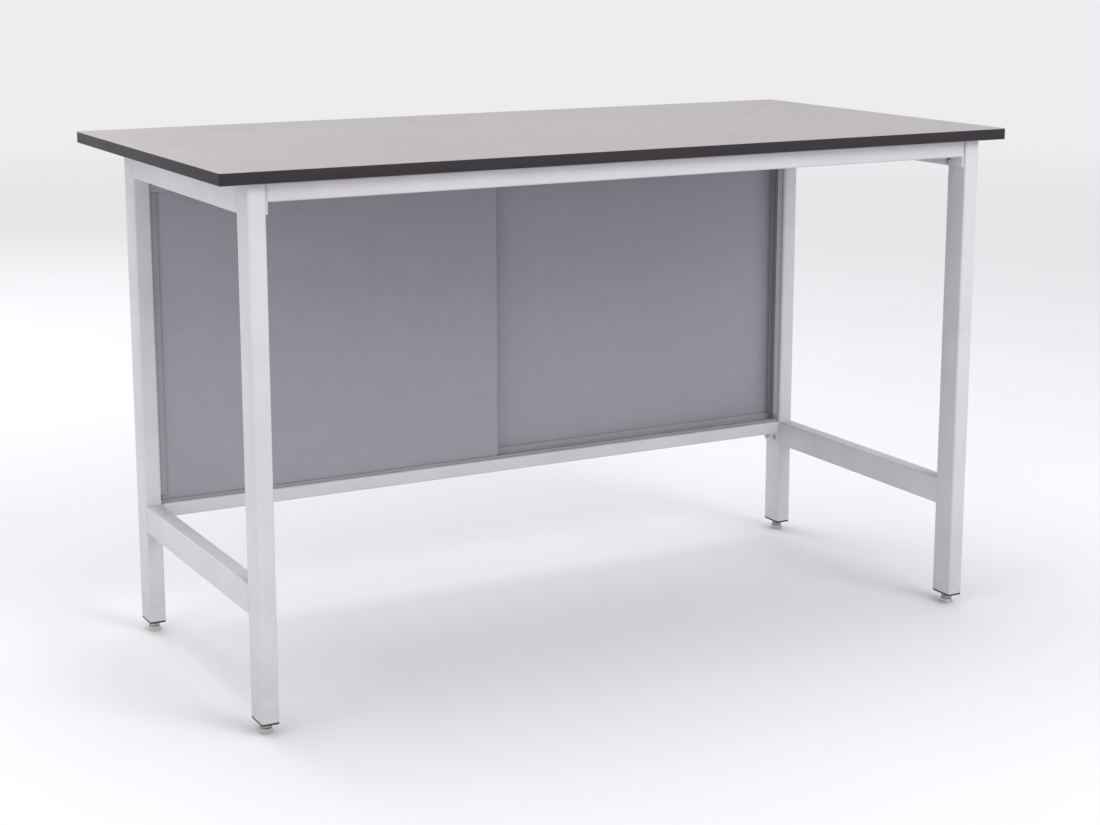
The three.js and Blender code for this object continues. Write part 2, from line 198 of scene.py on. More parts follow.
# How far a cutting tool reaches past what it cuts
TOOL_ROOM = 1.0 * MM

# How closely a face's normal has to follow a direction to count as facing it
FACING = 0.9
FLAT_FACING = 0.98

# How far a finish's shade strays from its middle value between its two tones
TONE_BAND = 0.14
COARSE_TONE_BAND = 0.15
PLY_TONE_BAND = 0.12

# Share of the fine grain in that shade, the rest being larger patches
GRAIN_SHARE = 0.35

# How far wear reaches from an edge
WEAR_WIDTH = 1.2 * MM
ZINC_WEAR_WIDTH = 0.5 * MM

# Sockets of a mix node that mixes colours
MIX_SHARE = 0
MIX_FIRST = 6
MIX_SECOND = 7
MIX_RESULT = 2

SIDES = ("left", "right")
CORNERS = ("front_left", "front_right", "rear_left", "rear_right")

# The directions that a piece modelled upright takes when it runs along an axis
RUN = {
    "X": Matrix(((0, 0, 1), (1, 0, 0), (0, 1, 0))),
    "Y": Matrix(((0, 1, 0), (0, 0, 1), (1, 0, 0))),
    "Z": Matrix.Identity(3),
}

bpy.ops.object.select_all(action="SELECT")
bpy.ops.object.delete()
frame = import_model()
body_of_node = {}
for body_name, members in frame["record"]["behaviour"]["bodies"].items():
    for member in members:
        body_of_node[member] = body_name


# Hand work on a mesh

def only(piece):
    """Selects one piece and makes it the active one."""
    bpy.ops.object.select_all(action="DESELECT")
    piece.select_set(True)
    bpy.context.view_layer.objects.active = piece


def settle(piece):
    """Puts a piece's place, turn and scale into its mesh."""
    only(piece)
    bpy.ops.object.transform_apply(location=True, rotation=True, scale=True)


def newest(name):
    """The piece that the last operator made, under its own name."""
    piece = bpy.context.object
    piece.name = name
    settle(piece)
    return piece


def open_mesh(piece, kind="FACE"):
    only(piece)
    bpy.ops.object.mode_set(mode="EDIT")
    bpy.ops.mesh.select_mode(type=kind)
    bpy.ops.mesh.select_all(action="SELECT")


def close_mesh():
    bpy.ops.object.mode_set(mode="OBJECT")


def face_outwards():
    bpy.ops.mesh.select_all(action="SELECT")
    bpy.ops.mesh.normals_make_consistent(inside=False)


def pick(piece, kind, test):
    """Selects the faces or edges of an open mesh that pass a test."""
    bpy.ops.mesh.select_mode(type=kind)
    bpy.ops.mesh.select_all(action="DESELECT")
    mesh = bmesh.from_edit_mesh(piece.data)
    parts = mesh.faces if kind == "FACE" else mesh.edges
    for part in parts:
        if test(part):
            part.select_set(True)
    bmesh.update_edit_mesh(piece.data)


def grow(shift):
    bpy.ops.mesh.extrude_region_move(TRANSFORM_OT_translate={"value": tuple(shift)})


def apply_modifiers(piece):
    only(piece)
    for modifier in list(piece.modifiers):
        bpy.ops.object.modifier_apply(modifier=modifier.name)


def ease_edges(piece, width, steps=2):
    """Rounds the sharp edges of a piece a little."""
    ease = piece.modifiers.new("ease", "BEVEL")
    ease.width = width
    ease.segments = steps
    ease.limit_method = "ANGLE"
    ease.angle_limit = SHARP_ANGLE
    apply_modifiers(piece)


def smooth(piece, angle=SMOOTH_ANGLE):
    only(piece)
    bpy.ops.object.shade_smooth_by_angle(angle=angle)


def carve(piece, tool, operation="DIFFERENCE"):
    """Cuts a piece with a tool, which is then thrown away."""
    cut = piece.modifiers.new("cut", "BOOLEAN")
    cut.operation = operation
    cut.solver = "EXACT"
    cut.object = tool
    apply_modifiers(piece)
    bpy.data.objects.remove(tool)


def join(piece, others):
    """Makes others part of a piece, as shells of its mesh."""
    only(piece)
    for other in others:
        other.select_set(True)
    bpy.ops.object.join()


def copied(pattern, name, shift, turn=None):
    """A copy of a pattern with its own mesh, turned and then moved."""
    only(pattern)
    bpy.ops.object.duplicate(linked=False)
    piece = bpy.context.object
    piece.name = name
    piece.rotation_euler = (turn or Matrix.Identity(3)).to_euler()
    piece.location = shift
    settle(piece)
    return piece


def block(name, low, high):
    bpy.ops.mesh.primitive_cube_add(size=1, location=(low + high) / 2)
    bpy.context.object.scale = high - low
    return newest(name)


def rounded_plate(name, width, depth, corner, thick):
    """A flat plate with round corners, standing on z = 0."""
    bpy.ops.mesh.primitive_plane_add(size=1)
    bpy.context.object.scale = (width, depth, 1)
    piece = newest(name)
    open_mesh(piece, "VERT")
    bpy.ops.mesh.bevel(affect="VERTICES", offset=corner, segments=CORNER_STEPS, profile=0.5)
    bpy.ops.mesh.select_mode(type="FACE")
    bpy.ops.mesh.select_all(action="SELECT")
    grow((0, 0, thick))
    face_outwards()
    close_mesh()
    return piece


def tube(name, low, high, run):
    """A rectangular tube with round corners that fills a box along one axis."""
    low, high = Vector(low), Vector(high)
    across = RUN[run].transposed() @ (high - low)
    bpy.ops.mesh.primitive_plane_add(size=1)
    bpy.context.object.scale = (across.x, across.y, 1)
    piece = newest(name)
    open_mesh(piece, "VERT")
    bpy.ops.mesh.bevel(affect="VERTICES", offset=TUBE_CORNER, segments=CORNER_STEPS, profile=0.5)
    bpy.ops.mesh.select_mode(type="FACE")
    bpy.ops.mesh.select_all(action="SELECT")
    bpy.ops.mesh.inset(thickness=TUBE_WALL)
    bpy.ops.mesh.delete(type="FACE")
    bpy.ops.mesh.select_all(action="SELECT")
    grow((0, 0, across.z))
    face_outwards()
    close_mesh()
    piece.rotation_euler = RUN[run].to_euler()
    piece.location = (low + high) / 2 - RUN[run] @ Vector((0, 0, across.z / 2))
    settle(piece)
    ease_edges(piece, TUBE_EDGE)
    return piece


def turned(name, outline, steps):
    """A body turned about Z, drawn up from its lowest ring through [radius, height] points."""
    radius, height = outline[0]
    bpy.ops.mesh.primitive_circle_add(
        vertices=steps, radius=radius, fill_type="NGON", location=(0, 0, height)
    )
    piece = newest(name)
    open_mesh(piece)
    for next_radius, next_height in outline[1:]:
        grow((0, 0, next_height - height))
        share = next_radius / radius
        bpy.ops.transform.resize(value=(share, share, 1))
        radius, height = next_radius, next_height
    face_outwards()
    close_mesh()
    return piece


def hex_prism(name, across, low, high):
    bpy.ops.mesh.primitive_cylinder_add(
        vertices=6, radius=across / math.sqrt(3), depth=high - low, location=(0, 0, (low + high) / 2)
    )
    return newest(name)


def chamfered_hex(name, across, low, high):
    """A hexagon whose corners are turned off at both faces, as on a nut."""
    face_radius = HEX_FACE_SHARE * across
    corner_radius = HEX_BLANK_SHARE * across
    fall = (corner_radius - face_radius) * math.tan(HEX_CHAMFER)
    blank = turned(
        "blank",
        [
            (face_radius, low),
            (corner_radius, low + fall),
            (corner_radius, high - fall),
            (face_radius, high),
        ],
        HEX_BLANK_SIDES,
    )
    piece = hex_prism(name, across, low - TOOL_ROOM, high + TOOL_ROOM)
    carve(piece, blank, "INTERSECT")
    return piece


def thread(name, low, turns):
    """A right-hand thread's ridge as one closed band round Z."""
    bpy.ops.mesh.primitive_plane_add(
        size=1,
        location=(STUD_CREST - THREAD_DEEP / 2, 0, low),
        rotation=(math.pi / 2, 0, 0),
    )
    bpy.context.object.scale = (THREAD_DEEP, THREAD_ROOT, 1)
    piece = newest(name)
    open_mesh(piece, "EDGE")
    pick(piece, "EDGE", lambda edge: all(v.co.x > STUD_CREST - THREAD_DEEP / 2 for v in edge.verts))
    bpy.ops.transform.resize(value=(1, 1, THREAD_CREST_SHARE), center_override=(0, 0, low))
    bpy.ops.mesh.select_all(action="SELECT")
    bpy.ops.mesh.delete(type="ONLY_FACE")
    close_mesh()
    climb = piece.modifiers.new("climb", "SCREW")
    climb.axis = "Z"
    climb.angle = 2 * math.pi
    climb.screw_offset = STUD_PITCH
    climb.iterations = turns
    climb.steps = THREAD_STEPS
    apply_modifiers(piece)
    open_mesh(piece, "EDGE")
    bpy.ops.mesh.select_all(action="DESELECT")
    bpy.ops.mesh.select_non_manifold()
    bpy.ops.mesh.fill_holes(sides=4)
    face_outwards()
    close_mesh()
    return piece


def weld_bead(name, corners, closed, radius):
    """A rippled weld along a path of straight runs."""
    ends = corners + corners[:1] if closed else corners
    points = []
    for start, end in zip(ends, ends[1:]):
        count = max(2, round((end - start).length * RIPPLE_POINTS / RIPPLE_LENGTH))
        points += [start.lerp(end, step / count) for step in range(count)]
    if not closed:
        points.append(corners[-1])
    path = bpy.data.curves.new(name, "CURVE")
    path.dimensions = "3D"
    path.bevel_depth = radius
    path.bevel_resolution = BEAD_ROUNDNESS
    path.use_fill_caps = True
    spline = path.splines.new("POLY")
    spline.points.add(len(points) - 1)
    for index, point in enumerate(points):
        spline.points[index].co = (*point, 1)
        crest = 0.5 + 0.5 * math.cos(2 * math.pi * index / RIPPLE_POINTS)
        spline.points[index].radius = 1.0 - RIPPLE_SHARE * crest
    spline.use_cyclic_u = closed
    piece = bpy.data.objects.new(name, path)
    bpy.context.scene.collection.objects.link(piece)
    only(piece)
    bpy.ops.object.convert(target="MESH")
    piece = newest(name)
    open_mesh(piece)
    bpy.ops.mesh.remove_doubles(threshold=BEAD_MERGE)
    face_outwards()
    close_mesh()
    return piece


# Finishes

def paint(red, green, blue):
    """A colour given as 0 to 255 on screen, in the linear values that shaders take."""
    def linear(value):
        share = value / 255
        return share / 12.92 if share <= 0.04045 else ((share + 0.055) / 1.055) ** 2.4
    return (linear(red), linear(green), linear(blue), 1.0)


def add_node(tree, kind, settings=None, inputs=None):
    """A node with its settings, and its inputs set or linked."""
    made = tree.nodes.new(kind)
    for name, value in (settings or {}).items():
        setattr(made, name, value)
    for name, value in (inputs or {}).items():
        if isinstance(value, bpy.types.NodeSocket):
            tree.links.new(value, made.inputs[name])
        else:
            made.inputs[name].default_value = value
    return made


def calc(tree, operation, first, second):
    made = add_node(tree, "ShaderNodeMath", {"operation": operation}, {0: first, 1: second})
    return made.outputs[0]


def spread(tree, value, source, target):
    """Maps a value from a source range to a target range, held at the ends."""
    made = add_node(
        tree,
        "ShaderNodeMapRange",
        {"clamp": True},
        {
            "Value": value,
            "From Min": source[0],
            "From Max": source[1],
            "To Min": target[0],
            "To Max": target[1],
        },
    )
    return made.outputs["Result"]


def mixed(tree, share, first, second):
    made = add_node(
        tree,
        "ShaderNodeMix",
        {"data_type": "RGBA"},
        {MIX_SHARE: share, MIX_FIRST: first, MIX_SECOND: second},
    )
    return made.outputs[MIX_RESULT]


def two_toned(tree, shade, dark, light, band=TONE_BAND):
    """Two close tones of one finish, mixed by a shade that strays from a half by no more than a band."""
    return mixed(tree, spread(tree, shade, (0.5 - band, 0.5 + band), (0.0, 1.0)), dark, light)


def layer(tree, mask, share, under, over):
    """A colour laid over another where a mask says, at a share of its full strength."""
    return mixed(tree, calc(tree, "MULTIPLY", mask, share), under, over)


def own_place(tree):
    """The place of a point in its piece's own axes."""
    return add_node(tree, "ShaderNodeTexCoord").outputs["Object"]


def height_of(tree, place):
    return add_node(tree, "ShaderNodeSeparateXYZ", None, {0: place}).outputs["Z"]


def noise(tree, vector, scale, detail, roughness):
    made = add_node(
        tree,
        "ShaderNodeTexNoise",
        None,
        {"Vector": vector, "Scale": scale, "Detail": detail, "Roughness": roughness},
    )
    return made.outputs[0]


def start_group(name, inputs, outputs):
    """A shader group with its sockets, and its two end nodes."""
    tree = bpy.data.node_groups.new(name, "ShaderNodeTree")
    for label, kind in inputs:
        tree.interface.new_socket(label, in_out="INPUT", socket_type=kind)
    for label, kind in outputs:
        tree.interface.new_socket(label, in_out="OUTPUT", socket_type=kind)
    return tree, tree.nodes.new("NodeGroupInput"), tree.nodes.new("NodeGroupOutput")


def make_fine_relief():
    """Small bumps all over, such as a powder coat's peel or a moulded grain, with a faint shade."""
    tree, given, result = start_group(
        "fine relief",
        [("Grain per metre", "NodeSocketFloat"), ("Patch per metre", "NodeSocketFloat")],
        [("Height", "NodeSocketFloat"), ("Shade", "NodeSocketFloat")],
    )
    place = own_place(tree)
    grain = noise(tree, place, given.outputs["Grain per metre"], detail=3.0, roughness=0.55)
    patch = noise(tree, place, given.outputs["Patch per metre"], detail=4.0, roughness=0.6)
    fine = calc(tree, "MULTIPLY", grain, GRAIN_SHARE)
    shade = calc(tree, "ADD", fine, calc(tree, "MULTIPLY", patch, 1.0 - GRAIN_SHARE))
    tree.links.new(grain, result.inputs["Height"])
    tree.links.new(shade, result.inputs["Shade"])
    return tree


def make_handling_marks():
    """Soft smudges and fine scratches where hands, boxes and cloths have been."""
    tree, given, result = start_group(
        "handling marks",
        [("Smudge per metre", "NodeSocketFloat"), ("Turn", "NodeSocketVector")],
        [("Smudge", "NodeSocketFloat"), ("Scratch", "NodeSocketFloat")],
    )
    place = own_place(tree)
    cloud = noise(tree, place, given.outputs["Smudge per metre"], detail=6.0, roughness=0.62)
    tree.links.new(spread(tree, cloud, (0.46, 0.74), (0.0, 1.0)), result.inputs["Smudge"])
    turned_place = add_node(
        tree,
        "ShaderNodeMapping",
        None,
        {"Vector": place, "Rotation": given.outputs["Turn"], "Scale": (3.0, 420.0, 420.0)},
    ).outputs["Vector"]
    lines = noise(tree, turned_place, scale=1.0, detail=1.0, roughness=0.4)
    breaks = noise(tree, place, scale=22.0, detail=2.0, roughness=0.5)
    scratch = calc(
        tree,
        "MULTIPLY",
        spread(tree, lines, (0.70, 0.78), (0.0, 1.0)),
        spread(tree, breaks, (0.55, 0.68), (0.0, 1.0)),
    )
    tree.links.new(scratch, result.inputs["Scratch"])
    return tree


def make_floor_dirt():
    """Dust and mop marks that fade out with height above the floor."""
    tree, given, result = start_group(
        "floor dirt", [("Reach", "NodeSocketFloat")], [("Dirt", "NodeSocketFloat")]
    )
    place = own_place(tree)
    low = spread(tree, height_of(tree, place), (0.0, given.outputs["Reach"]), (1.0, 0.0))
    cloud = noise(tree, place, scale=45.0, detail=5.0, roughness=0.65)
    smears = spread(tree, cloud, (0.35, 0.75), (0.15, 1.0))
    tree.links.new(calc(tree, "MULTIPLY", low, smears), result.inputs["Dirt"])
    return tree


def make_drawn_lines():
    """Fine lines along one direction, left by a die, a brush or a saw."""
    tree, given, result = start_group(
        "drawn lines",
        [("Stretch", "NodeSocketVector")],
        [("Height", "NodeSocketFloat")],
    )
    stretched = add_node(
        tree, "ShaderNodeMapping", None, {"Vector": own_place(tree), "Scale": given.outputs["Stretch"]}
    ).outputs["Vector"]
    lines = noise(tree, stretched, scale=1.0, detail=3.0, roughness=0.6)
    tree.links.new(lines, result.inputs["Height"])
    return tree


def make_worn_edges():
    """A broken mask along edges, where the finish is rubbed thin."""
    tree, given, result = start_group(
        "worn edges", [("Width", "NodeSocketFloat")], [("Wear", "NodeSocketFloat")]
    )
    rounded = add_node(tree, "ShaderNodeBevel", {"samples": 4}, {"Radius": given.outputs["Width"]})
    facing = add_node(tree, "ShaderNodeNewGeometry").outputs["Normal"]
    likeness = add_node(
        tree,
        "ShaderNodeVectorMath",
        {"operation": "DOT_PRODUCT"},
        {0: rounded.outputs["Normal"], 1: facing},
    )
    edge = spread(tree, likeness.outputs["Value"], (0.88, 0.995), (1.0, 0.0))
    cloud = noise(tree, own_place(tree), scale=70.0, detail=5.0, roughness=0.7)
    breaks = spread(tree, cloud, (0.40, 0.64), (0.1, 1.0))
    tree.links.new(calc(tree, "MULTIPLY", edge, breaks), result.inputs["Wear"])
    return tree


FINE_RELIEF = make_fine_relief()
HANDLING_MARKS = make_handling_marks()
FLOOR_DIRT = make_floor_dirt()
DRAWN_LINES = make_drawn_lines()
WORN_EDGES = make_worn_edges()


def use_group(tree, group, inputs):
    return add_node(tree, "ShaderNodeGroup", {"node_tree": group}, inputs)


def edge_wear(tree, width=WEAR_WIDTH):
    return use_group(tree, WORN_EDGES, {"Width": width}).outputs["Wear"]


def start_finish(name):
    """A material with its surface shader."""
    material = bpy.data.materials.new(name)
    material.use_nodes = True
    tree = material.node_tree
    tree.nodes.clear()
    surface = tree.nodes.new("ShaderNodeBsdfPrincipled")
    output = tree.nodes.new("ShaderNodeOutputMaterial")
    tree.links.new(surface.outputs["BSDF"], output.inputs["Surface"])
    return material, tree, surface


def bump(tree, surface, height, strength, distance):
    made = add_node(
        tree, "ShaderNodeBump", None, {"Height": height, "Strength": strength, "Distance": distance}
    )
    tree.links.new(made.outputs["Normal"], surface.inputs["Normal"])


def roughen(tree, surface, value, source, target):
    """Lets a value set a surface's roughness, from a source range to a target range."""
    tree.links.new(spread(tree, value, source, target), surface.inputs["Roughness"])


def make_powder_coat():
    material, tree, surface = start_finish("light grey powder coat")
    peel = use_group(tree, FINE_RELIEF, {"Grain per metre": 620.0, "Patch per metre": 9.0})
    marks = use_group(tree, HANDLING_MARKS, {"Smudge per metre": 6.0, "Turn": (0.0, 0.9, 1.2)})
    dirt = use_group(tree, FLOOR_DIRT, {"Reach": 0.16})
    coat = two_toned(
        tree, peel.outputs["Shade"], paint(195, 192, 196), paint(204, 201, 205), COARSE_TONE_BAND
    )
    rubbed = layer(tree, marks.outputs["Smudge"], share=0.10, under=coat, over=paint(168, 165, 167))
    scratched = layer(tree, marks.outputs["Scratch"], share=0.25, under=rubbed, over=paint(222, 220, 222))
    dusty = layer(tree, dirt.outputs["Dirt"], share=0.30, under=scratched, over=paint(150, 145, 140))
    wear = edge_wear(tree)
    worn = layer(tree, wear, share=0.30, under=dusty, over=paint(170, 167, 169))
    tree.links.new(worn, surface.inputs["Base Color"])
    gloss = spread(tree, marks.outputs["Smudge"], (0.0, 1.0), (0.40, 0.52))
    polish = calc(tree, "MULTIPLY", wear, 0.10)
    tree.links.new(calc(tree, "SUBTRACT", gloss, polish), surface.inputs["Roughness"])
    bump(tree, surface, peel.outputs["Height"], strength=0.14, distance=0.25 * MM)
    return material


def make_worktop_laminate(low_z, high_z):
    """Grey decor sheets over a dark core of many paper plies, which shows all round the edge."""
    material, tree, surface = start_finish("grey solid-grade laminate")
    grain = use_group(tree, FINE_RELIEF, {"Grain per metre": 1300.0, "Patch per metre": 40.0})
    marks = use_group(tree, HANDLING_MARKS, {"Smudge per metre": 4.5, "Turn": (0.0, 0.0, 0.5)})
    plies = use_group(tree, DRAWN_LINES, {"Stretch": (9.0, 9.0, 2600.0)})
    decor = two_toned(tree, grain.outputs["Shade"], paint(154, 148, 151), paint(161, 155, 158))
    wiped = layer(tree, marks.outputs["Smudge"], share=0.06, under=decor, over=paint(136, 131, 134))
    scored = layer(tree, marks.outputs["Scratch"], share=0.30, under=wiped, over=paint(202, 197, 200))
    core = two_toned(tree, plies.outputs["Height"], paint(26, 22, 26), paint(41, 36, 40), PLY_TONE_BAND)
    height = height_of(tree, own_place(tree))
    upper = spread(tree, height, (high_z - DECOR_SHEET, high_z - DECOR_INNER), (0.0, 1.0))
    lower = spread(tree, height, (low_z + DECOR_INNER, low_z + DECOR_SHEET), (1.0, 0.0))
    faced = calc(tree, "MAXIMUM", upper, lower)
    wear = edge_wear(tree)
    sheet_and_core = mixed(tree, faced, core, scored)
    worn = layer(tree, wear, share=0.22, under=sheet_and_core, over=paint(112, 106, 110))
    tree.links.new(worn, surface.inputs["Base Color"])
    sheen = calc(tree, "MULTIPLY", marks.outputs["Smudge"], 0.10)
    tree.links.new(calc(tree, "ADD", sheen, 0.52), surface.inputs["Roughness"])
    surface.inputs["Specular IOR Level"].default_value = 0.35
    bump(tree, surface, grain.outputs["Height"], strength=0.10, distance=0.15 * MM)
    return material


def make_panel_laminate():
    material, tree, surface = start_finish("mid-grey faced board")
    grain = use_group(tree, FINE_RELIEF, {"Grain per metre": 850.0, "Patch per metre": 30.0})
    marks = use_group(tree, HANDLING_MARKS, {"Smudge per metre": 5.0, "Turn": (0.0, 1.1, 0.2)})
    face = two_toned(tree, grain.outputs["Shade"], paint(148, 145, 154), paint(152, 149, 158))
    rubbed = layer(tree, marks.outputs["Smudge"], share=0.05, under=face, over=paint(164, 161, 168))
    scuffed = layer(tree, marks.outputs["Scratch"], share=0.22, under=rubbed, over=paint(178, 175, 181))
    wear = edge_wear(tree)
    worn = layer(tree, wear, share=0.25, under=scuffed, over=paint(168, 165, 171))
    tree.links.new(worn, surface.inputs["Base Color"])
    roughen(tree, surface, marks.outputs["Smudge"], (0.0, 1.0), (0.50, 0.60))
    bump(tree, surface, grain.outputs["Height"], strength=0.16, distance=0.2 * MM)
    return material


def make_edge_band():
    material, tree, surface = start_finish("grey edge band")
    grain = use_group(tree, FINE_RELIEF, {"Grain per metre": 1600.0, "Patch per metre": 30.0})
    band = two_toned(tree, grain.outputs["Shade"], paint(118, 115, 124), paint(130, 127, 136))
    wear = edge_wear(tree)
    worn = layer(tree, wear, share=0.30, under=band, over=paint(156, 153, 160))
    tree.links.new(worn, surface.inputs["Base Color"])
    roughen(tree, surface, grain.outputs["Height"], (0.3, 0.7), (0.36, 0.46))
    bump(tree, surface, grain.outputs["Height"], strength=0.08, distance=0.1 * MM)
    return material


def make_track_plastic(name, stretch):
    material, tree, surface = start_finish(name)
    lines = use_group(tree, DRAWN_LINES, {"Stretch": stretch})
    marks = use_group(tree, HANDLING_MARKS, {"Smudge per metre": 9.0, "Turn": (0.3, 0.0, 0.0)})
    skin = two_toned(
        tree, lines.outputs["Height"], paint(138, 135, 141), paint(152, 149, 155), COARSE_TONE_BAND
    )
    dusty = layer(tree, marks.outputs["Smudge"], share=0.18, under=skin, over=paint(172, 169, 170))
    wear = edge_wear(tree)
    worn = layer(tree, wear, share=0.35, under=dusty, over=paint(182, 179, 183))
    tree.links.new(worn, surface.inputs["Base Color"])
    roughen(tree, surface, lines.outputs["Height"], (0.3, 0.7), (0.42, 0.56))
    bump(tree, surface, lines.outputs["Height"], strength=0.12, distance=0.12 * MM)
    return material


def make_zinc():
    material, tree, surface = start_finish("zinc-plated steel")
    grain = use_group(tree, FINE_RELIEF, {"Grain per metre": 2600.0, "Patch per metre": 70.0})
    cutter = use_group(tree, DRAWN_LINES, {"Stretch": (160.0, 160.0, 5200.0)})
    plate = two_toned(tree, grain.outputs["Shade"], paint(164, 165, 168), paint(182, 182, 181))
    wear = edge_wear(tree, ZINC_WEAR_WIDTH)
    bright = layer(tree, wear, share=0.5, under=plate, over=paint(206, 206, 204))
    tree.links.new(bright, surface.inputs["Base Color"])
    surface.inputs["Metallic"].default_value = 1.0
    roughen(tree, surface, cutter.outputs["Height"], (0.3, 0.7), (0.24, 0.36))
    bump(tree, surface, cutter.outputs["Height"], strength=0.06, distance=0.05 * MM)
    return material


def make_nylon(name, dark, light, dirt_share):
    material, tree, surface = start_finish(name)
    grain = use_group(tree, FINE_RELIEF, {"Grain per metre": 1900.0, "Patch per metre": 60.0})
    dirt = use_group(tree, FLOOR_DIRT, {"Reach": 0.02})
    moulded = two_toned(tree, grain.outputs["Shade"], dark, light)
    soiled = layer(tree, dirt.outputs["Dirt"], share=dirt_share, under=moulded, over=paint(112, 106, 100))
    tree.links.new(soiled, surface.inputs["Base Color"])
    roughen(tree, surface, grain.outputs["Height"], (0.3, 0.7), (0.44, 0.58))
    bump(tree, surface, grain.outputs["Height"], strength=0.18, distance=0.1 * MM)
    return material


top_low, top_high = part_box("worktop")
POWDER_COAT = make_powder_coat()
WORKTOP_LAMINATE = make_worktop_laminate(top_low.z, top_high.z)
PANEL_LAMINATE = make_panel_laminate()
EDGE_BAND = make_edge_band()
TRACK_PLASTIC = make_track_plastic("track plastic", (2.0, 1700.0, 1700.0))
CHANNEL_PLASTIC = make_track_plastic("channel plastic", (1700.0, 1700.0, 2.0))
ZINC = make_zinc()
INSERT_NYLON = make_nylon("dark insert nylon", paint(44, 44, 47), paint(62, 62, 65), 0.25)
PAD_NYLON = make_nylon("light pad nylon", paint(190, 189, 186), paint(206, 205, 202), 0.55)


def span(node):
    """A solid's size along each axis."""
    low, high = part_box(node)
    return high - low


def fit(piece, node, finishes):
    """Gives a piece its finishes, and puts it in the place of its solid."""
    for finish in finishes:
        piece.data.materials.append(finish)
    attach(piece, body_of_node[node])
    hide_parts(node)


# Worktop

def make_worktop():
    low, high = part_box("worktop")
    slab = block("top_slab", low, high)
    open_mesh(slab, "EDGE")
    pick(slab, "EDGE", lambda edge: abs(edge.verts[0].co.z - edge.verts[1].co.z) > MM)
    bpy.ops.mesh.bevel(affect="EDGES", offset=TOP_CORNER, segments=CORNER_STEPS, profile=0.5)
    close_mesh()
    ease_edges(slab, TOP_ARRIS, TOP_ARRIS_STEPS)
    smooth(slab)
    fit(slab, "worktop", [WORKTOP_LAMINATE])


# Frame

def drill_access(piece, screw_names, low_z):
    """Holes in a rail's lower wall, under the screws that hold the worktop."""
    for screw in screw_names:
        low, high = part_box(screw)
        middle = (low + high) / 2
        bpy.ops.mesh.primitive_cylinder_add(
            vertices=BORE_SIDES,
            radius=ACCESS_HOLE_RADIUS,
            depth=3 * TUBE_WALL,
            location=(middle.x, middle.y, low_z + TUBE_WALL / 2),
        )
        carve(piece, newest("drill"))


def make_legs():
    for corner in CORNERS:
        low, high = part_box(f"leg_{corner}")
        leg = tube(f"tube_leg_{corner}", low, high, "Z")
        smooth(leg)
        fit(leg, f"leg_{corner}", [POWDER_COAT])


def weld_path(low, high, y, whole):
    """The outline of a rail's end at one leg, all round or leaving out its top."""
    left, right = low.x + WELD_SINK, high.x - WELD_SINK
    bottom, top = low.z + WELD_SINK, high.z - WELD_SINK
    turn = TUBE_CORNER - WELD_SINK
    under = [
        (left, bottom + turn),
        (left + turn, bottom),
        (right - turn, bottom),
        (right, bottom + turn),
        (right, top - turn),
    ]
    start = (left, top - turn)
    over = [(right - turn, top), (left + turn, top), start]
    corners = under + over if whole else [start] + under
    return [Vector((x, y, z)) for x, z in corners]


def make_end_rails():
    for side in SIDES:
        for kind in ("end_top_rail", "end_stretcher"):
            node = f"{kind}_{side}"
            low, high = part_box(node)
            reach = Vector((0, SEAT_GAP, 0))
            rail = tube(f"welded_{node}", low - reach, high + reach, "Y")
            whole = kind == "end_stretcher"
            if not whole:
                drill_access(rail, [f"worktop_screw_{side}_{end}" for end in ("front", "rear")], low.z)
            into_leg = SEAT_GAP + WELD_LEAN
            paths = [weld_path(low, high, y, whole) for y in (low.y - into_leg, high.y + into_leg)]
            beads = [weld_bead("bead", path, whole, WELD_RADIUS) for path in paths]
            join(rail, beads)
            smooth(rail)
            fit(rail, node, [POWDER_COAT])


def end_plate(name, low, high):
    """A welded plate across the end of a long rail, from its box."""
    size = high - low
    plate = rounded_plate(name, size.y, size.z, PLATE_CORNER, size.x)
    plate.rotation_euler = RUN["X"].to_euler()
    plate.location = (low.x, (low.y + high.y) / 2, (low.z + high.z) / 2)
    settle(plate)
    ease_edges(plate, TUBE_EDGE)
    return plate


def make_long_rail(node, tube_low, tube_high, plate_low, plate_high, fillets):
    """A rail with a plate at either end. Boxes are [y, z] corners, fillets are [y, z] lines of weld."""
    low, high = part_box(node)
    inner = high.x - PLATE_THICK
    rail = tube(
        f"bolted_{node}",
        (-inner - WELD_STEP, *tube_low),
        (inner + WELD_STEP, *tube_high),
        "X",
    )
    extras = []
    for outer in (low.x, inner):
        plate_start = Vector((outer, *plate_low))
        plate_end = Vector((outer + PLATE_THICK, *plate_high))
        extras.append(end_plate("plate", plate_start, plate_end))
    for x in (-inner, inner):
        for start, end in fillets:
            path = [Vector((x, *start)), Vector((x, *end))]
            extras.append(weld_bead("bead", path, False, FILLET_RADIUS))
    if "top" in node:
        drill_access(rail, [f"worktop_screw_{node.split('_')[0]}_middle"], tube_low[1])
    join(rail, extras)
    smooth(rail)
    fit(rail, node, [POWDER_COAT])


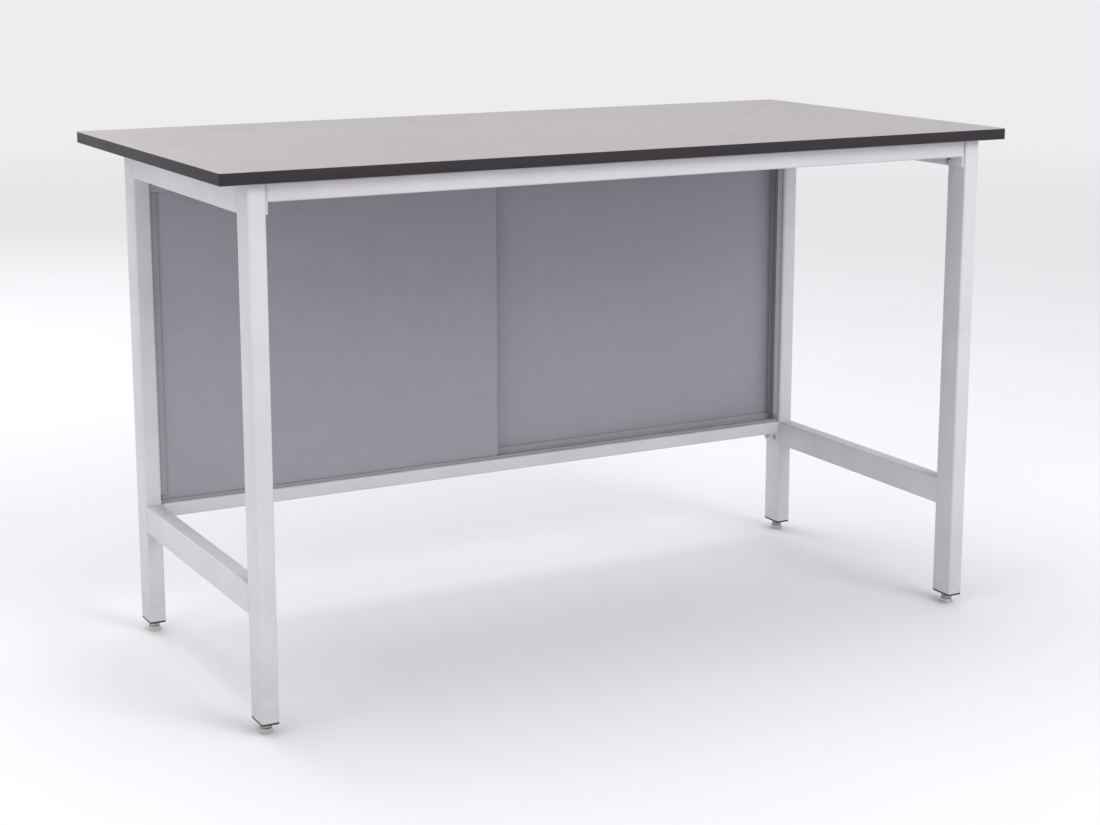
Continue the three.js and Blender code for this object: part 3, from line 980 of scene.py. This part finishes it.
def make_long_rails():
    step = WELD_STEP
    low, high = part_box("front_top_rail")
    inner_face = low.y + TUBE_WIDE
    tube_floor = high.z - FRONT_RAIL_TALL
    make_long_rail(
        "front_top_rail",
        (low.y, tube_floor),
        (inner_face, high.z),
        (low.y + step, low.z),
        (high.y, high.z - step),
        [
            ((inner_face, tube_floor + TUBE_CORNER), (inner_face, high.z - TUBE_CORNER)),
            ((low.y + TUBE_CORNER, tube_floor), (inner_face - TUBE_CORNER, tube_floor)),
        ],
    )
    low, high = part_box("rear_top_rail")
    inner_face = high.y - TUBE_WIDE
    make_long_rail(
        "rear_top_rail",
        (inner_face, low.z),
        (high.y, high.z),
        (low.y, low.z + step),
        (high.y - step, high.z - step),
        [((inner_face, low.z + TUBE_CORNER), (inner_face, high.z - TUBE_CORNER))],
    )
    low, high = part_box("rear_lower_rail")
    tube_floor = high.z - LOW_RAIL_TALL
    make_long_rail(
        "rear_lower_rail",
        (low.y, tube_floor),
        (high.y, high.z),
        (low.y + step, low.z),
        (high.y - step, high.z - step),
        [((low.y + TUBE_CORNER, tube_floor), (high.y - TUBE_CORNER, tube_floor))],
    )


def make_bolts():
    """Button-head bolts with a hex socket, all from one pattern."""
    outline = [
        (BOLT_RADIUS - BOLT_CHAMFER, -BOLT_LENGTH),
        (BOLT_RADIUS, BOLT_CHAMFER - BOLT_LENGTH),
        (BOLT_RADIUS, 0.0),
        (BOLT_HEAD_RADIUS, 0.0),
    ]
    for step in range(BOLT_DOME_STEPS + 1):
        angle = BOLT_DOME_TURN * step / BOLT_DOME_STEPS
        rise = (BOLT_HEAD_TALL - BOLT_RIM) * math.sin(angle) / math.sin(BOLT_DOME_TURN)
        outline.append((BOLT_HEAD_RADIUS * math.cos(angle), BOLT_RIM + rise))
    pattern = turned("bolt_pattern", outline, BOLT_SIDES)
    socket = hex_prism(
        "socket", BOLT_SOCKET_ACROSS, BOLT_HEAD_TALL - BOLT_SOCKET_DEEP, BOLT_HEAD_TALL + TOOL_ROOM
    )
    carve(pattern, socket)
    ease_edges(pattern, BOLT_EDGE, 1)
    smooth(pattern)
    for rail in ("front_top_rail", "rear_top_rail", "rear_lower_rail"):
        for side, hand in zip(SIDES, (1, -1)):
            for number in (1, 2):
                node = f"bolt_{rail}_{side}_{number}"
                low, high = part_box(node)
                head = high.x - BOLT_HEAD_TALL if hand > 0 else low.x + BOLT_HEAD_TALL
                turn = Matrix.Rotation(hand * math.pi / 2, 3, "Y")
                place = (head, (low.y + high.y) / 2, (low.z + high.z) / 2)
                bolt = copied(pattern, f"button_{node}", place, turn)
                fit(bolt, node, [ZINC])
    bpy.data.objects.remove(pattern)


def make_worktop_screws():
    """Cross-head screws whose heads lie inside the top rails."""
    places = ["left_front", "left_rear", "right_front", "right_rear", "front_middle", "rear_middle"]
    length = span(f"worktop_screw_{places[0]}").z
    pattern = turned(
        "screw_pattern",
        [
            (TOP_SCREW_HEAD - TOP_SCREW_CHAMFER, 0.0),
            (TOP_SCREW_HEAD, TOP_SCREW_CHAMFER),
            (TOP_SCREW_HEAD, TOP_SCREW_HEAD_TALL),
            (TOP_SCREW_RADIUS, TOP_SCREW_HEAD_TALL),
            (TOP_SCREW_RADIUS, length - TOP_SCREW_CHAMFER),
            (TOP_SCREW_RADIUS - TOP_SCREW_CHAMFER, length),
        ],
        BOLT_SIDES,
    )
    cut_cross(pattern, CROSS_SHARE * TOP_SCREW_HEAD, -TOOL_ROOM, TOP_SCREW_RECESS)
    ease_edges(pattern, TOP_SCREW_EDGE, 1)
    smooth(pattern)
    for where in places:
        node = f"worktop_screw_{where}"
        low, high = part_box(node)
        place = ((low.x + high.x) / 2, (low.y + high.y) / 2, low.z)
        screw = copied(pattern, f"cross_{node}", place)
        fit(screw, node, [ZINC])
    bpy.data.objects.remove(pattern)


# Panels and tracks

def ribbed_strip(name, node, up, heights):
    """A strip with three ribs: its base is cut across where the ribs stand, and they are drawn out."""
    low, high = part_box(node)
    up = Vector(up)
    base_low, base_high = low.copy(), high.copy()
    axis = max(range(3), key=lambda index: abs(up[index]))
    if up[axis] > 0:
        base_high[axis] = low[axis] + TRACK_BASE
    else:
        base_low[axis] = high[axis] - TRACK_BASE
    strip = block(name, base_low, base_high)
    starts = [low.y + number * (TRACK_RIB + TRACK_GROOVE) for number in range(3)]
    open_mesh(strip)
    for start in starts:
        for edge in (start, start + TRACK_RIB):
            bpy.ops.mesh.select_all(action="SELECT")
            bpy.ops.mesh.bisect(plane_co=(0, edge, 0), plane_no=(0, 1, 0))
    for start, height in zip(starts, heights):
        middle = start + TRACK_RIB / 2
        pick(
            strip,
            "FACE",
            lambda face: face.normal.dot(up) > FACING
            and abs(face.calc_center_median().y - middle) < TRACK_RIB / 2,
        )
        grow(up * (height - TRACK_BASE))
    face_outwards()
    close_mesh()
    return strip


def track_screw_tool(name, room):
    """A countersunk body with its top at z = 0: the screw, or with room the hole that takes it."""
    head = TRACK_SCREW_HEAD + room
    shank = TRACK_SCREW_RADIUS + room
    return turned(
        name,
        [
            (shank, -TRACK_SCREW_LENGTH),
            (shank, shank - head),
            (head, 0.0),
            (head, room),
        ],
        SMALL_SIDES,
    )


def make_tracks():
    drop = span("panel_track_top").z
    tall = span("panel_track_bottom").z
    reach = span("panel_channel_left").x
    strips = [
        ("panel_track_bottom", (0, 0, 1), (FRONT_LIP, tall, tall), TRACK_PLASTIC),
        ("panel_track_top", (0, 0, -1), (drop, drop, drop), TRACK_PLASTIC),
        ("panel_channel_left", (1, 0, 0), (reach, reach, reach), CHANNEL_PLASTIC),
        ("panel_channel_right", (-1, 0, 0), (reach, reach, reach), CHANNEL_PLASTIC),
    ]
    for node, up, heights, finish in strips:
        strip = ribbed_strip(f"ribbed_{node}", node, up, heights)
        ease_edges(strip, TRACK_EDGE)
        if "track" in node:
            sink_screws(strip, node.split("_")[-1])
        smooth(strip)
        fit(strip, node, [finish])


def cut_cross(screw, reach, low, high):
    """A cross recess in a screw's head, between two heights."""
    corner = Vector((reach, CROSS_SLOT / 2, 0))
    slot = block("slot", -corner + Vector((0, 0, low)), corner + Vector((0, 0, high)))
    crossed = copied(slot, "crossed", (0, 0, 0), Matrix.Rotation(math.pi / 2, 3, "Z"))
    carve(screw, slot)
    carve(screw, crossed)


def sink_screws(strip, which):
    """Countersinks a track and puts its screws in."""
    flip = Matrix.Rotation(math.pi if which == "top" else 0.0, 3, "X")
    pattern = track_screw_tool("screw_pattern", 0.0)
    cut_cross(pattern, CROSS_SHARE * TRACK_SCREW_HEAD, -TRACK_SCREW_RECESS, TOOL_ROOM)
    ease_edges(pattern, TRACK_SCREW_EDGE, 1)
    smooth(pattern)
    for where in ("left", "middle", "right"):
        node = f"track_screw_{which}_{where}"
        low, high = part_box(node)
        face = low.z if which == "top" else high.z
        place = Vector(((low.x + high.x) / 2, (low.y + high.y) / 2, face))
        hole = track_screw_tool("sink", SEAT_GAP)
        hole.rotation_euler = flip.to_euler()
        hole.location = place
        settle(hole)
        carve(strip, hole)
        screw = copied(pattern, f"cross_{node}", place, flip)
        fit(screw, node, [ZINC])
    bpy.data.objects.remove(pattern)


def make_panels():
    for side in SIDES:
        node = f"back_panel_{side}"
        low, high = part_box(node)
        board = block(f"board_{side}", low, high)
        ease_edges(board, PANEL_ARRIS, PANEL_ARRIS_STEPS)
        finishes = [PANEL_LAMINATE, EDGE_BAND]
        fit(board, node, finishes)
        open_mesh(board)
        pick(board, "FACE", lambda face: abs(face.normal.y) < FLAT_FACING)
        board.active_material_index = finishes.index(EDGE_BAND)
        bpy.ops.object.material_slot_assign()
        close_mesh()
        smooth(board)


# Feet

def make_stud_pattern(low, high):
    hex_low = low.z + STUD_SPIGOT_DEEP
    hex_high = hex_low + STUD_HEX_TALL
    stud = chamfered_hex("stud_pattern", HEX_ACROSS, hex_low, hex_high)
    spigot = turned(
        "spigot",
        [
            (STUD_SPIGOT_RADIUS - STUD_SPIGOT_CHAMFER, low.z),
            (STUD_SPIGOT_RADIUS, low.z + STUD_SPIGOT_CHAMFER),
            (STUD_SPIGOT_RADIUS, hex_low + STUD_OVERLAP),
        ],
        SMALL_SIDES,
    )
    core = turned(
        "core",
        [
            (STUD_CORE, hex_high - STUD_OVERLAP),
            (STUD_CORE, high.z - STUD_PITCH),
            (STUD_CORE - STUD_PITCH / 2, high.z),
        ],
        SMALL_SIDES,
    )
    thread_low = hex_high + STUD_UNDERCUT
    turns = math.floor((high.z - STUD_PITCH - thread_low) / STUD_PITCH)
    ridge = thread("ridge", thread_low, turns)
    ease_edges(stud, STUD_EDGE, 1)
    join(stud, [spigot, core, ridge])
    smooth(stud)
    return stud


def make_nut_pattern(low, high):
    nut = chamfered_hex("nut_pattern", HEX_ACROSS, low.z, high.z)
    bore = turned("bore", [(NUT_BORE, low.z - TOOL_ROOM), (NUT_BORE, high.z + TOOL_ROOM)], BORE_SIDES)
    carve(nut, bore)
    ease_edges(nut, NUT_EDGE)
    smooth(nut)
    return nut


def make_insert_pattern(low, high):
    size = high - low
    flange = rounded_plate("insert_pattern", size.x, size.y, TUBE_CORNER, INSERT_FLANGE)
    inside = 2 * TUBE_WALL + 2 * SEAT_GAP
    plug = rounded_plate("plug", size.x - inside, size.y - inside, TUBE_WALL, size.z - INSERT_PLUG_START)
    plug.location = (0, 0, INSERT_PLUG_START)
    settle(plug)
    carve(flange, plug, "UNION")
    bore = turned("bore", [(NUT_BORE, -TOOL_ROOM), (NUT_BORE, size.z + TOOL_ROOM)], BORE_SIDES)
    carve(flange, bore)
    flange.location = (0, 0, low.z)
    settle(flange)
    ease_edges(flange, INSERT_EDGE)
    smooth(flange)
    return flange


def make_pad_pattern(low, high):
    radius = (high.x - low.x) / 2
    tall = high.z - low.z
    shoulder = radius - PAD_ARRIS / 2
    outline = [
        (radius - PAD_ARRIS, 0.0),
        (radius, PAD_ARRIS),
        (radius, PAD_RIM_TALL - PAD_ARRIS / 2),
    ]
    for step in range(PAD_FLANK_STEPS + 1):
        angle = math.pi / 2 * step / PAD_FLANK_STEPS
        inwards = (shoulder - PAD_NECK_RADIUS) * math.sin(angle)
        upwards = (tall - PAD_RIM_TALL) * (1 - math.cos(angle))
        outline.append((shoulder - inwards, PAD_RIM_TALL + upwards))
    outline.append((PAD_SOCKET_RADIUS, tall))
    outline.append((PAD_SOCKET_RADIUS, tall - PAD_SOCKET_DEEP))
    pad = turned("pad_pattern", outline, PAD_SIDES)
    smooth(pad, PAD_SMOOTH_ANGLE)
    return pad


def make_feet():
    parts = [
        ("foot_stud", make_stud_pattern, "zinc_steel", ZINC),
        ("lock_nut", make_nut_pattern, "zinc_steel", ZINC),
        ("leg_insert", make_insert_pattern, "insert_nylon", INSERT_NYLON),
        ("foot_pad", make_pad_pattern, "pad_nylon", PAD_NYLON),
    ]
    for kind, make_pattern, slot, finish in parts:
        pattern = make_pattern(*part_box(f"{kind}_{CORNERS[0]}"))
        for corner in CORNERS:
            node = f"{kind}_{corner}"
            low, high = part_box(node)
            place = ((low.x + high.x) / 2, (low.y + high.y) / 2, 0)
            piece = copied(pattern, f"turned_{node}", place)
            fit(piece, node, [finish])
        bpy.data.objects.remove(pattern)


make_worktop()
make_legs()
make_end_rails()
make_long_rails()
make_bolts()
make_worktop_screws()
make_tracks()
make_panels()
make_feet()


# Studio

def make_floor():
    bpy.ops.mesh.primitive_circle_add(
        vertices=FLOOR_SIDES, radius=FLOOR_RADIUS, fill_type="NGON", location=(0, 0, -FLOOR_DROP)
    )
    floor = newest("studio_floor")
    material, tree, surface = start_finish("pale floor")
    grain = use_group(tree, FINE_RELIEF, {"Grain per metre": 400.0, "Patch per metre": 2.0})
    tone = mixed(tree, grain.outputs["Shade"], paint(224, 224, 226), paint(230, 230, 232))
    tree.links.new(tone, surface.inputs["Base Color"])
    surface.inputs["Roughness"].default_value = 0.7
    surface.inputs["Specular IOR Level"].default_value = 0.1
    place = own_place(tree)
    away = add_node(tree, "ShaderNodeVectorMath", {"operation": "LENGTH"}, {0: place}).outputs["Value"]
    faded = spread(tree, away, (FLOOR_CLEAR, FLOOR_RADIUS), (0.0, 1.0))
    below = add_node(tree, "ShaderNodeNewGeometry").outputs["Backfacing"]
    clear = tree.nodes.new("ShaderNodeBsdfTransparent").outputs["BSDF"]
    one_sided = add_node(
        tree,
        "ShaderNodeMixShader",
        None,
        {0: calc(tree, "MAXIMUM", faded, below), 1: surface.outputs["BSDF"], 2: clear},
    )
    tree.links.new(one_sided.outputs[0], tree.nodes["Material Output"].inputs["Surface"])
    floor.data.materials.append(material)


def soft_light(name, place, size, power):
    lamp = bpy.data.lights.new(name, "AREA")
    lamp.shape = "DISK"
    lamp.size = size
    lamp.energy = power
    holder = bpy.data.objects.new(name, lamp)
    holder.location = place
    holder.rotation_euler = (LIGHT_AIM - place).to_track_quat("-Z", "Y").to_euler()
    bpy.context.scene.collection.objects.link(holder)


def make_studio():
    make_floor()
    for name, (place, size, power) in LIGHTS.items():
        soft_light(name, place, size, power)
    sky = bpy.data.worlds.new("studio")
    sky.use_nodes = True
    air = sky.node_tree.nodes["Background"]
    air.inputs["Color"].default_value = AIR_COLOUR
    air.inputs["Strength"].default_value = AIR_STRENGTH
    bpy.context.scene.world = sky
    bpy.context.scene.view_settings.view_transform = "Standard"


def make_camera():
    lens = bpy.data.cameras.new("camera")
    lens.sensor_width = CAMERA_SENSOR
    lens.lens = CAMERA_LENS
    lens.shift_y = CAMERA_SHIFT
    camera = bpy.data.objects.new("camera", lens)
    camera.location = CAMERA_PLACE
    camera.rotation_euler = (CAMERA_AIM - CAMERA_PLACE).to_track_quat("-Z", "Y").to_euler()
    bpy.context.scene.collection.objects.link(camera)
    bpy.context.scene.camera = camera


make_studio()
make_camera()
